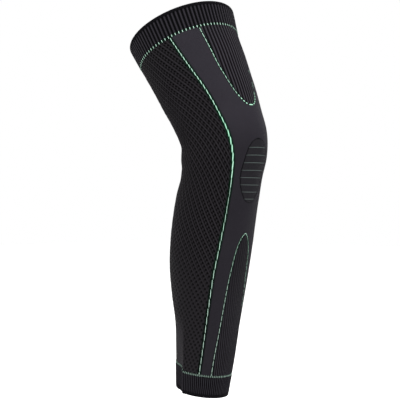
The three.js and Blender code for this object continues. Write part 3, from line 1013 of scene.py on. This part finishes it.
def honeycomb_pattern(shader, needle, course):
    """Share of the shade over a cell: most on the ridge, as painted light, less on the net, and
    least in the pits, as painted shade.
    """
    across = shader.math("DIVIDE", needle, CELL_NEEDLES)
    row = shader.math("DIVIDE", course, CELL_COURSES)
    ridged = shader.attribute("ridged")
    width = shader.math("MULTIPLY_ADD", ridged, SMALL_WIDTH - LARGE_WIDTH, LARGE_WIDTH)
    height = shader.math("MULTIPLY_ADD", ridged, SMALL_HEIGHT - LARGE_HEIGHT, LARGE_HEIGHT)
    lean = shader.math("MULTIPLY_ADD", ridged, LARGE_LEAN, -LARGE_LEAN)

    def apart(value, place):
        return shader.math("WRAP", shader.math("SUBTRACT", value, place), 0.5, -0.5)

    def spot(centre):
        below = apart(row, centre[1])
        aside = apart(shader.math("MULTIPLY_ADD", below, lean, across), centre[0])
        aside = shader.math("DIVIDE", aside, width)
        below = shader.math("DIVIDE", below, height)
        far = shader.math("MULTIPLY_ADD", aside, aside, shader.math("MULTIPLY", below, below))
        return shader.ramp(far, SPOT_FADED, SPOT_FULL)

    def line(place):
        away = shader.math("ABSOLUTE", apart(across, place))
        return shader.ramp(away, RIDGE_FADE * RIDGE_HALF, 0.0)

    # Painted light on the ridge and the bumps.
    proud = shader.math("MULTIPLY", line(0.0), RIDGE_LIGHT)
    proud = shader.math("MULTIPLY_ADD", line(BUMP[0]), BUMP_LINE_LIGHT, proud)
    proud = shader.math("MULTIPLY_ADD", spot(BUMP), BUMP_LIGHT, proud)
    net = shader.math("MULTIPLY_ADD", ridged, RIDGED_NET - PLAIN_NET, PLAIN_NET)
    net = shader.math("MULTIPLY_ADD", proud, ridged, net)
    # Painted shade in the pits.
    depth = shader.math("MULTIPLY_ADD", ridged, 1 - LARGE_SHARE, LARGE_SHARE)
    second_depth = shader.math("MULTIPLY", ridged, SECOND_SHARE)
    first_pit = shader.math("MULTIPLY", spot(PIT), depth)
    second_pit = shader.math("MULTIPLY", spot(SECOND_PIT), second_depth)
    for pit in (first_pit, second_pit):
        net = shader.math("MULTIPLY", net, shader.math("SUBTRACT", 1.0, pit))
    beyond_pulled = shader.math("SUBTRACT", net, PULLED_SHADE)
    return shader.math("MULTIPLY_ADD", shader.attribute("opened"), beyond_pulled, PULLED_SHADE)


# The knit beside the accent lines, where the accent yarn shows through from behind.
ACCENT_TINT = srgb(1, 31, 17)

# Light on plain loops: the least of it, and what a loop, clouds over the cloth and fuzz add. Then
# the fuzz's share of a loop's height, and that height.
LEAST_LIGHT = 0.72
LOOP_LIGHT = 0.22
CLOUD_LIGHT = 0.06
FUZZ_LIGHT = 0.12
FUZZ_HEIGHT = 0.25
LOOP_HEIGHT = 0.35


def knit_material(name, deep, proud, pattern=None):
    """Plain loops of dark yarn: a column of V stitches on each needle, in painted shade where the
    knit dips.
    """
    shader = Shader(name, roughness=0.95, sheen=0.05, specular=0.02)
    needle, course = shader.knit_places()
    aside = shader.math("ABSOLUTE", shader.math("SUBTRACT", shader.math("FRACT", needle), 0.5))
    slant = shader.math("ADD", course, shader.math("MULTIPLY", aside, -1.0))
    wave = shader.math("SINE", shader.math("MULTIPLY", slant, 2 * math.pi))
    leg = shader.math("MULTIPLY_ADD", wave, 0.5, 0.5)
    column = shader.math("COSINE", shader.math("MULTIPLY", aside, math.pi))
    loop = shader.math("MULTIPLY", leg, column)
    cloudy = shader.ramp(shader.noise(scale=45.0, detail=2.0), low=0.3, high=0.7)
    fuzz = shader.ramp(shader.noise(scale=1400.0, detail=3.0), low=0.25, high=0.75)
    light = shader.math("MULTIPLY_ADD", loop, LOOP_LIGHT, LEAST_LIGHT)
    light = shader.math("MULTIPLY_ADD", cloudy, CLOUD_LIGHT, light)
    light = shader.math("MULTIPLY_ADD", fuzz, FUZZ_LIGHT, light)
    shade = shader.attribute("shade")
    if pattern:
        shade = shader.math("MULTIPLY", shade, pattern(shader, needle, course))
    deep = shader.mix(shader.attribute("tinted"), deep, ACCENT_TINT)
    # The deep colour where the shade is low: painted shade in the hollows, and the dark seams.
    colour = shader.mix(shader.math("MULTIPLY", shade, light), deep, proud)
    height = shader.math("MULTIPLY_ADD", fuzz, FUZZ_HEIGHT, loop)
    return shader.finish(colour, height, LOOP_HEIGHT * MM)


# Light on yarn: the least of it, and what the twist and fuzz add. A power narrows it to the yarn's
# top. Then the height of the twist.
YARN_LEAST_LIGHT = 0.55
TWIST_LIGHT = 0.25
YARN_FUZZ_LIGHT = 0.2
TOP_POWER = 2.6
TWIST_HEIGHT = 0.2


def yarn_material(name, pale, full):
    """Loose twisted yarn: a painted highlight on top, and painted shade down its sides and in the
    turns of its twist.

    pale and full each hold a dark colour, for the painted shade, and a bright one, for the painted
    highlight.
    """
    shader = Shader(name, roughness=0.8, sheen=0.0, specular=0.1)
    run, turn = shader.knit_places()
    phase = shader.math("MULTIPLY", shader.math("ADD", run, turn), 2 * math.pi)
    strand = shader.math("MULTIPLY_ADD", shader.math("SINE", phase), 0.5, 0.5)
    fuzz = shader.ramp(shader.noise(scale=1800.0, detail=2.0), low=0.25, high=0.75)
    height = shader.math("SINE", shader.math("MULTIPLY", turn, 2 * math.pi))
    # Painted highlight along the yarn's top; its sides stay in painted shade.
    top = shader.math("POWER", shader.math("MAXIMUM", height, 0.0), TOP_POWER)
    light = shader.math("MULTIPLY_ADD", strand, TWIST_LIGHT, YARN_LEAST_LIGHT)
    light = shader.math("MULTIPLY_ADD", fuzz, YARN_FUZZ_LIGHT, light)
    green = shader.attribute("shade")
    dark, bright = (shader.mix(green, *colours) for colours in zip(pale, full))
    colour = shader.mix(shader.math("MULTIPLY", light, top), dark, bright)
    return shader.finish(colour, strand, TWIST_HEIGHT * MM)


# Each knit has a deep colour, for its dark seams and the painted shade in its hollows, and a proud
# colour.
MATERIALS = {
    "rim_knit": knit_material("rim_knit", srgb(4, 4, 5), srgb(17, 16, 19)),
    "cuff_knit": knit_material("cuff_knit", srgb(4, 4, 5), srgb(44, 42, 47)),
    "rib_knit": knit_material("rib_knit", srgb(8, 7, 9), srgb(49, 47, 52)),
    "plain_knit": knit_material("plain_knit", srgb(5, 5, 6), srgb(38, 36, 41)),
    "honeycomb_knit": knit_material(
        "honeycomb_knit", srgb(1, 1, 1), srgb(40, 38, 41), honeycomb_pattern),
    "patch_knit": knit_material("patch_knit", srgb(2, 2, 3), srgb(29, 28, 31)),
    "accent_yarn": yarn_material(
        "accent_yarn",
        pale=(srgb(48, 74, 62), srgb(198, 214, 206)),
        full=(srgb(8, 76, 42), srgb(170, 228, 198))),
    "stripe_yarn": yarn_material(
        "stripe_yarn",
        pale=(srgb(38, 40, 41), srgb(76, 81, 80)),
        full=(srgb(36, 41, 41), srgb(72, 83, 80))),
}


def add_piece(name, mesh, slot, *nodes, material=None):
    piece = mesh.build(name)
    piece.data.materials.append(MATERIALS[material or slot])
    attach(piece, "root")
    if nodes:
        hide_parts(*nodes)
    return piece


def add_cloth(name, cloth, slot, node):
    piece = add_piece(name, cloth.mesh, slot, node)


# The inserts' lines begin this far from the tip, clear of the stitch across it.
TIP_CLEAR = 1.2

thigh_stitches = add_piece(
    "thigh_cuff_stitches", cuff_yarn(CUFF_SEAM, THIGH_CUFF_STITCH, THIGH_CUFF_WIDTH),
    "accent_yarn", "thigh_cuff_line")
ankle_stitches = add_piece(
    "ankle_cuff_stitches", cuff_yarn(ANKLE_SEAM, ANKLE_CUFF_STITCH, ANKLE_CUFF_WIDTH),
    "accent_yarn", "ankle_cuff_line")
thigh_line = add_piece(
    "thigh_insert_stitches",
    insert_yarn(THIGH_TIP - TIP_CLEAR, LINES_START, thigh_edge, THIGH_STITCHES, THIGH_TIP,
                THIGH_TIP_STITCH),
    "accent_yarn", "thigh_panel_line")
shin_line = add_piece(
    "shin_insert_stitches",
    insert_yarn(SHIN_TIP + TIP_CLEAR, LINES_END, shin_edge, SHIN_STITCHES, SHIN_TIP,
                SHIN_TIP_STITCH),
    "accent_yarn", "shin_panel_line")
right_line = add_piece(
    "side_stitches_right", side_yarn(right_edge, 1), "accent_yarn", "side_line_right")
left_line = add_piece(
    "side_stitches_left", side_yarn(left_edge, -1), "accent_yarn", "side_line_left")
stripes = add_piece("knee_patch_stripes", patch_yarn(), "patch_knit", material="stripe_yarn")

RIM_END = TOP_EDGE + RIM_DEPTH
RIM_START = HEM - RIM_DEPTH
thigh_rim = add_piece("thigh_rim_roll", rolled_rim(TOP_EDGE, RIM_END), "rim_knit", "thigh_rim")
ankle_rim = add_piece("ankle_rim_roll", rolled_rim(RIM_START, HEM), "rim_knit", "ankle_rim")
add_cloth("thigh_cuff_ribs", ribbed_ring(RIM_END, CUFF_SEAM), "cuff_knit", "thigh_cuff")
add_cloth("thigh_insert_ribs", rib_insert(rows_within(CUFF_SEAM, THIGH_TIP), thigh_edge),
          "rib_knit", "thigh_rib_panel")
add_cloth("front_knit", front_cloth(), "plain_knit", "front_panel")
add_cloth("knee_patch_knit", patch_cloth(), "patch_knit", "knee_patch")
add_cloth("shin_insert_ribs", rib_insert(rows_within(SHIN_TIP, ANKLE_SEAM), shin_edge),
          "rib_knit", "shin_rib_panel")
add_cloth("honeycomb_knit", honeycomb_cloth(), "honeycomb_knit", "honeycomb_panel")
add_cloth("ankle_cuff_ribs", ribbed_ring(ANKLE_SEAM, RIM_START), "cuff_knit", "ankle_cuff")

# Stage, in metres: a white floor an ankle's height below the hem, soft lights and the camera.

FLOOR_DROP = 0.095
FLOOR_GLOW = 0.25
FLOOR_SIZE = 12.0
FLOOR_GRAIN = 0.0001
FLOOR_COLOURS = (srgb(246, 246, 246), srgb(252, 252, 252))
WHITE = (1.0, 1.0, 1.0, 1.0)
CAMERA_AZIMUTH = -47.0
CAMERA_DISTANCE = 1.5
CAMERA_ASIDE = -0.0273
CAMERA_HEIGHT = -0.042

# Camera lens and sensor, in millimetres.
CAMERA_LENS = 93.75
SENSOR_WIDTH = 36.0

# Lights: name, azimuth from the camera's, elevation, distance, size, power in watts.
LIGHTS = (
    ("key_light", 5, 55, 2.2, 1.6, 50),
    ("side_light", 75, 25, 2.4, 1.2, 20),
    ("rim_light", -75, 20, 2.2, 1.0, 10),
)


def add_floor():
    bpy.ops.mesh.primitive_plane_add(size=FLOOR_SIZE, location=(0, 0, CAD_BOX[0].z - FLOOR_DROP))
    floor = bpy.context.object
    floor.name = "floor"
    shader = Shader("floor_paper", roughness=0.9, sheen=0.0, specular=0.1)
    shader.principled.inputs["Emission Color"].default_value = WHITE
    shader.principled.inputs["Emission Strength"].default_value = FLOOR_GLOW
    grain = shader.noise(scale=60.0, detail=4.0)
    colour = shader.mix(grain, *FLOOR_COLOURS)
    floor.data.materials.append(shader.finish(colour, grain, FLOOR_GRAIN))


def facing(azimuth):
    turn = math.radians(azimuth)
    return Vector((-math.sin(turn), math.cos(turn), 0.0))


def add_light(name, azimuth, elevation, distance, size, power):
    """A square soft light at an azimuth and elevation round the knee, aimed at it."""
    data = bpy.data.lights.new(name, "AREA")
    data.size = size
    data.energy = power
    light = bpy.data.objects.new(name, data)
    rise = math.radians(elevation)
    back = -facing(azimuth) * math.cos(rise) + Vector((0, 0, math.sin(rise)))
    light.location = back * distance
    light.rotation_mode = "QUATERNION"
    light.rotation_quaternion = (-back).to_track_quat("-Z", "Y")
    bpy.context.collection.objects.link(light)


def add_camera():
    data = bpy.data.cameras.new("camera")
    data.lens = CAMERA_LENS
    data.sensor_width = SENSOR_WIDTH
    camera = bpy.data.objects.new("camera", data)
    ahead = facing(CAMERA_AZIMUTH)
    aside = Vector((ahead.y, -ahead.x, 0.0))
    level = Vector((0, 0, CAMERA_HEIGHT))
    camera.location = -ahead * CAMERA_DISTANCE + aside * CAMERA_ASIDE + level
    camera.rotation_mode = "QUATERNION"
    camera.rotation_quaternion = ahead.to_track_quat("-Z", "Y")
    bpy.context.collection.objects.link(camera)
    bpy.context.scene.camera = camera


add_floor()
for light_name, light_aside, *placing in LIGHTS:
    add_light(light_name, CAMERA_AZIMUTH + light_aside, *placing)
add_camera()
world = bpy.data.worlds.new("studio")
world.use_nodes = True
world.node_tree.nodes["Background"].inputs["Color"].default_value = WHITE
bpy.context.scene.world = world
bpy.context.scene.view_settings.view_transform = "Standard"
